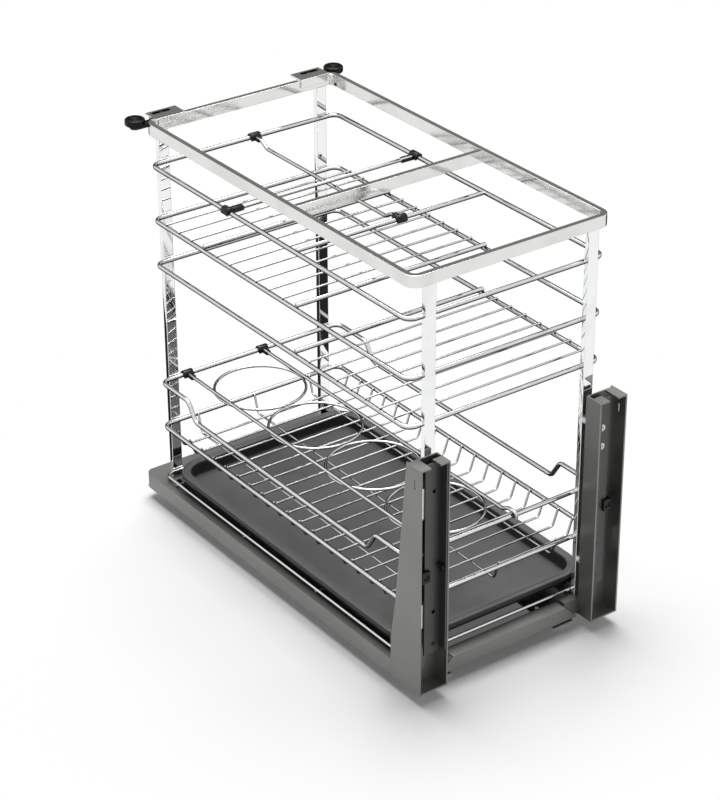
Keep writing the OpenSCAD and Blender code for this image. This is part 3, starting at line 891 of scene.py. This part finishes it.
# steps inwards and upwards: over the rolled rim, down the wall and out on the floor
for inward, upward in [
    (0.25, 0.5),
    (0.55, 0.3),
    (0.8, 0.0),
    (0.7, -0.35),
    (0.7, -0.75),
    (1.0, -0.45),
    (1.1, 0.0),
    (0.9, 0.35),
    (0.7, 0.7),
    (0.7, 0.45),
    (0.7, 0.05),
    (0.7, -0.15),
    (0.6, -0.6),
    (0.35, -1.2),
    (0.5, -6.0),
    (0.5, -6.0),
    (0.4, -1.3),
    (0.9, -0.9),
    (1.6, -0.5),
    (5.0, -0.1),
]:
    bpy.ops.mesh.inset(
        thickness=inward / 1000,
        depth=upward / 1000,
        use_boundary=True,
        use_even_offset=True,
    )
bpy.ops.mesh.select_all(action="DESELECT")
bpy.ops.mesh.select_mode(type="EDGE")
bpy.ops.mesh.select_non_manifold(extend=False, use_wire=False, use_boundary=True)
bpy.ops.mesh.extrude_region_move(TRANSFORM_OT_translate={"value": (0, 0, -0.0046)})
bpy.ops.mesh.select_all(action="SELECT")
bpy.ops.mesh.normals_make_consistent(inside=False)
bpy.ops.object.mode_set(mode="OBJECT")
bpy.ops.object.transform_apply(location=True, rotation=True, scale=True)
wall = tray.modifiers.new("wall", "SOLIDIFY")
wall.thickness = 0.0014
wall.offset = -1
bpy.ops.object.modifier_apply(modifier="wall")
bpy.ops.object.shade_smooth_by_angle(angle=math.radians(50))
tray.data.materials.append(tray_grey)
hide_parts("drip_tray")
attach(tray, "tray")

# ---------------------------------------------------------------------------
# Base, front member, door brackets and door plates: folded steel sheet, powder
# coated in a satin dark grey with the faint orange peel of such a coat. The door
# plates take a darker copy of the coat: painted shade for the brackets' channels.
# ---------------------------------------------------------------------------


def powder_coat(name, colour, rough):
    made, surface, place = finish(name)
    peel = place.node("ShaderNodeTexNoise", {}, {"Vector": place, "Scale": 520.0, "Detail": 2.0})
    cloud = place.node("ShaderNodeTexNoise", {}, {"Vector": place, "Scale": 9.0, "Detail": 4.0})
    light = tuple(c * 1.12 for c in colour)
    shade = cloud.between(0.35, 0.7).tint((*colour, 1), (*light, 1))
    bump = place.node("ShaderNodeBump", {}, {"Strength": 0.5, "Distance": 0.00005, "Height": peel})
    tree = made.node_tree
    surface.inputs["Metallic"].default_value = 0.85
    tree.links.new(shade.socket, surface.inputs["Base Color"])
    tree.links.new((rough + cloud * 0.08).socket, surface.inputs["Roughness"])
    tree.links.new(bump.socket, surface.inputs["Normal"])
    return made


dark_coat = powder_coat("dark_coat", (0.24, 0.239, 0.232), 0.38)
# painted shade: the door plates' coat is the same coat made much darker, for the shade inside the
# channels
plate_coat_painted_shade = powder_coat("plate_coat_painted_shade", (0.1, 0.1, 0.098), 0.42)
for sheet, body, coat in [
    ("base_frame", "carriage", dark_coat),
    ("base_front_member", "carriage", dark_coat),
    ("front_bracket_left", "carriage", dark_coat),
    ("front_bracket_right", "carriage", dark_coat),
    ("door_plate_left", "door_fixing_left", plate_coat_painted_shade),
    ("door_plate_right", "door_fixing_right", plate_coat_painted_shade),
]:
    softened(sheet, body, 0.0004, coat, sheet + "_coated")

# ---------------------------------------------------------------------------
# Roller plates: slotted steel plates folded over the rear bar, plated like it.
# The cut edges in the slot are painted near black: painted shade for the dark slot.
# ---------------------------------------------------------------------------

# painted shade: a near-black coat for the slot's cut edges
slot_painted_shade = powder_coat("slot_painted_shade", (0.006, 0.006, 0.006), 0.6)
for plate in ["roller_bracket_left", "roller_bracket_right"]:
    plated = softened(plate, "carriage", 0.0003, bar_chrome, plate + "_plated")
    plated.data.materials.append(slot_painted_shade)
    for face in plated.data.polygons:
        x, y, z = face.center
        in_slot = abs(abs(x) - 0.0945) < 0.0115 and abs(y - at_loops(0, 238.6, 0).y) < 0.0033
        if in_slot and abs(face.normal.z) < 0.995:
            face.material_index = 1

# ---------------------------------------------------------------------------
# Runners, spacers and screws: zinc plated and blackened steel. Two pan head
# screws stand on the right door plate.
# ---------------------------------------------------------------------------

zinc = chrome_plate("zinc", (0.6, 0.61, 0.62), 0.28, 0.1)
for part in [
    "cabinet_rail_left",
    "cabinet_rail_right",
    "middle_slide_left",
    "middle_slide_right",
    "carriage_slide_left",
    "carriage_slide_right",
    "post_spacers",
]:
    coat_node(part, zinc)
for height in [222, 201]:
    bpy.ops.object.select_all(action="DESELECT")
    bpy.ops.mesh.primitive_cylinder_add(
        vertices=32,
        radius=0.0039,
        depth=0.0024,
        location=at_loops(104.1, -248.2, height),
        rotation=(math.radians(90), 0, 0),
    )
    head = bpy.context.object
    head.name = "door_plate_screw_%d" % height
    bpy.ops.object.transform_apply(location=True, rotation=True, scale=True)
    bpy.context.tool_settings.mesh_select_mode = (False, False, True)
    for face in head.data.polygons:
        face.select = face.normal.y < -0.9
    bpy.ops.object.mode_set(mode="EDIT")
    bpy.ops.mesh.inset(thickness=0.0024, depth=0)
    bpy.ops.mesh.inset(thickness=0.0002, depth=-0.0011)
    bpy.ops.object.mode_set(mode="OBJECT")
    dome = head.modifiers.new("dome", "BEVEL")
    dome.width = 0.0009
    dome.segments = 4
    dome.limit_method = "ANGLE"
    dome.angle_limit = math.radians(60)
    bpy.ops.object.modifier_apply(modifier="dome")
    bpy.ops.object.shade_smooth_by_angle(angle=math.radians(40))
    head.data.materials.append(zinc)
    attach(head, "door_fixing_right")
black_steel = chrome_plate("black_steel", (0.09, 0.09, 0.09), 0.3, 0.1)
for part in ["bracket_screws", "roller_arm_screw_left", "roller_arm_screw_right"]:
    coat_node(part, black_steel)

low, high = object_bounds()
